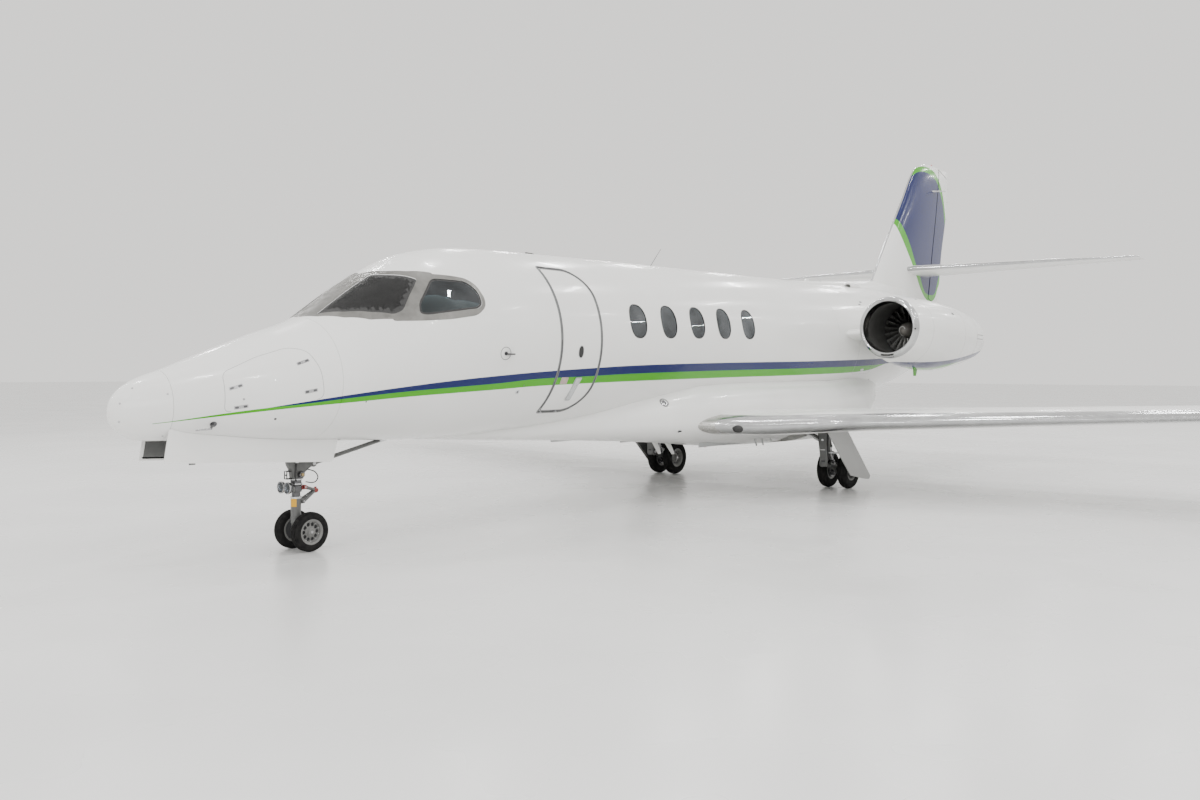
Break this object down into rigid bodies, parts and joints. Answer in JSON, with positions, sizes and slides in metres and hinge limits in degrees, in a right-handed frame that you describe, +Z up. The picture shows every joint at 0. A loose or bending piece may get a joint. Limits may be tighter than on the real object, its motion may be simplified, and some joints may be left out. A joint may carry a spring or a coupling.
{
  "type": "business jet aircraft",
  "caption": "Twin-engine business jet with a low wing, cruciform tail, opening airstair door and moving control surfaces, parked on its landing gear.",
  "frame": {"origin": "centre of the bounding box at ground level, under the belly", "axes": "-Y towards the nose, +X towards the left wing tip, where the entry door is, +Z up"},
  "size_m": [22.05, 18.97, 6.38],
  "materials": {
    "paint_white": "gloss white paint",
    "paint_blue": "gloss blue paint",
    "glass": "dark tinted, clear gloss",
    "panel_dark": "matt",
    "leather": "soft grain",
    "engine_metal": "dark, satin",
    "gear_paint": "semi-gloss grey",
    "tyre": "matt black rubber"
  },
  "bodies": {
    "airframe": {"radome": "paint_white", "nose_section": "paint_white", "cabin_shell": "paint_white", "aft_fuselage": "paint_white", "tail_cone": "paint_white", "belly_fairing": "paint_white", "wing_left": "paint_white", "wing_right": "paint_white", "fin": "paint_white", "stabilizer": "paint_white", "nacelle_left": "paint_white", "nacelle_right": "paint_white", "pylon_left": "paint_white", "pylon_right": "paint_white", "nose_gear_door_left": "paint_white", "nose_gear_door_right": "paint_white", "main_gear_door_left": "paint_white", "main_gear_door_right": "paint_white", "windshield_left": "glass", "windshield_right": "glass", "side_window_left": "glass", "side_window_right": "glass", "cabin_windows_left": "glass", "cabin_windows_right": "glass", "instrument_panel": "panel_dark", "cockpit_seats": "leather", "cabin_seats": "leather", "engine_left": "engine_metal", "engine_right": "engine_metal", "nose_leg": "gear_paint", "main_leg_left": "gear_paint", "main_leg_right": "gear_paint", "trailing_link_left": "gear_paint", "trailing_link_right": "gear_paint"},
    "nose_steering": {"nose_fork": "gear_paint"},
    "nose_wheels": {"nose_hub": "gear_paint", "nose_tyre_left": "tyre", "nose_tyre_right": "tyre"},
    "main_wheels_left": {"main_hub_left": "gear_paint", "main_tyre_inner_left": "tyre", "main_tyre_outer_left": "tyre"},
    "main_wheels_right": {"main_hub_right": "gear_paint", "main_tyre_inner_right": "tyre", "main_tyre_outer_right": "tyre"},
    "fan_rotor_left": {"fan_left": "engine_metal"},
    "fan_rotor_right": {"fan_right": "engine_metal"},
    "door": {"entry_door": "paint_white"},
    "rudder_surface": {"rudder": "paint_blue"},
    "elevator_surface_left": {"elevator_left": "paint_white"},
    "elevator_surface_right": {"elevator_right": "paint_white"},
    "aileron_surface_left": {"aileron_left": "paint_white"},
    "aileron_surface_right": {"aileron_right": "paint_white"},
    "flap_surface_left": {"flap_left": "paint_white"},
    "flap_surface_right": {"flap_right": "paint_white"},
    "bucket_upper_left": {"reverser_upper_left": "paint_white"},
    "bucket_lower_left": {"reverser_lower_left": "paint_white"},
    "bucket_upper_right": {"reverser_upper_right": "paint_white"},
    "bucket_lower_right": {"reverser_lower_right": "paint_white"}
  },
  "joints": [
    {"name": "nose_steer", "type": "hinge", "parent": "airframe", "child": "nose_steering", "pos_m": [0, -7.7, 0.64], "axis": [0, 0, 1], "range_deg": [-60, 60]},
    {"name": "nose_wheel_spin", "type": "hinge", "parent": "nose_steering", "child": "nose_wheels", "pos_m": [0, -7.64, 0.192], "axis": [1, 0, 0], "continuous": true},
    {"name": "main_wheel_spin_left", "type": "hinge", "parent": "airframe", "child": "main_wheels_left", "pos_m": [1.61, 0.645, 0.28], "axis": [1, 0, 0], "continuous": true},
    {"name": "main_wheel_spin_right", "type": "hinge", "parent": "airframe", "child": "main_wheels_right", "pos_m": [-1.61, 0.645, 0.28], "axis": [1, 0, 0], "continuous": true},
    {"name": "fan_spin_left", "type": "hinge", "parent": "airframe", "child": "fan_rotor_left", "pos_m": [1.8, 2.865, 2.46634], "axis": [0, 1, 0], "continuous": true},
    {"name": "fan_spin_right", "type": "hinge", "parent": "airframe", "child": "fan_rotor_right", "pos_m": [-1.8, 2.865, 2.46634], "axis": [0, 1, 0], "continuous": true},
    {"name": "door_hinge", "type": "hinge", "parent": "airframe", "child": "door", "pos_m": [0.662, -4.67, 1.279], "axis": [0, 1, 0], "range_deg": [0, 125]},
    {"name": "rudder_hinge", "type": "hinge", "parent": "airframe", "child": "rudder_surface", "pos_m": [0, 8.155, 3.4], "axis": [0, 0.2159, 0.9764], "range_deg": [-25, 25]},
    {"name": "elevator_hinge_left", "type": "hinge", "parent": "airframe", "child": "elevator_surface_left", "pos_m": [0.33, 8.25433, 3.94846], "axis": [-0.9622, -0.2695, -0.0392], "range_deg": [-20, 15]},
    {"name": "elevator_hinge_right", "type": "hinge", "parent": "airframe", "child": "elevator_surface_right", "pos_m": [-0.33, 8.25433, 3.94846], "axis": [-0.9622, 0.2695, 0.0392], "range_deg": [-20, 15]},
    {"name": "aileron_hinge_left", "type": "hinge", "parent": "airframe", "child": "aileron_surface_left", "pos_m": [6.7, 2.21675, 1.25557], "axis": [-0.9835, -0.1765, -0.0386], "range_deg": [-20, 20]},
    {"name": "aileron_hinge_right", "type": "hinge", "parent": "airframe", "child": "aileron_surface_right", "pos_m": [-6.7, 2.21675, 1.25557], "axis": [-0.9835, 0.1765, 0.0386], "range_deg": [-20, 20]},
    {"name": "flap_hinge_left", "type": "hinge", "parent": "airframe", "child": "flap_surface_left", "pos_m": [1.42, 1.23758, 0.95515], "axis": [-0.9828, -0.1785, -0.0468], "range_deg": [0, 35]},
    {"name": "flap_hinge_right", "type": "hinge", "parent": "airframe", "child": "flap_surface_right", "pos_m": [-1.42, 1.23758, 0.95515], "axis": [-0.9828, 0.1785, 0.0468], "range_deg": [0, 35]},
    {"name": "reverser_hinge_upper_left", "type": "hinge", "parent": "airframe", "child": "bucket_upper_left", "pos_m": [1.8, 5.315, 2.42064], "axis": [-1, 0, 0], "range_deg": [0, 43]},
    {"name": "reverser_hinge_lower_left", "type": "hinge", "parent": "airframe", "child": "bucket_lower_left", "pos_m": [1.8, 5.315, 2.38464], "axis": [1, 0, 0], "range_deg": [0, 43]},
    {"name": "reverser_hinge_upper_right", "type": "hinge", "parent": "airframe", "child": "bucket_upper_right", "pos_m": [-1.8, 5.315, 2.42064], "axis": [-1, 0, 0], "range_deg": [0, 43]},
    {"name": "reverser_hinge_lower_right", "type": "hinge", "parent": "airframe", "child": "bucket_lower_right", "pos_m": [-1.8, 5.315, 2.38464], "axis": [1, 0, 0], "range_deg": [0, 43]}
  ],
  "couplings": [
    {"joint": "elevator_hinge_right", "follows": "elevator_hinge_left", "ratio": 1},
    {"joint": "aileron_hinge_right", "follows": "aileron_hinge_left", "ratio": -1},
    {"joint": "flap_hinge_right", "follows": "flap_hinge_left", "ratio": 1},
    {"joint": "reverser_hinge_lower_left", "follows": "reverser_hinge_upper_left", "ratio": 1},
    {"joint": "reverser_hinge_lower_right", "follows": "reverser_hinge_upper_right", "ratio": 1}
  ]
}
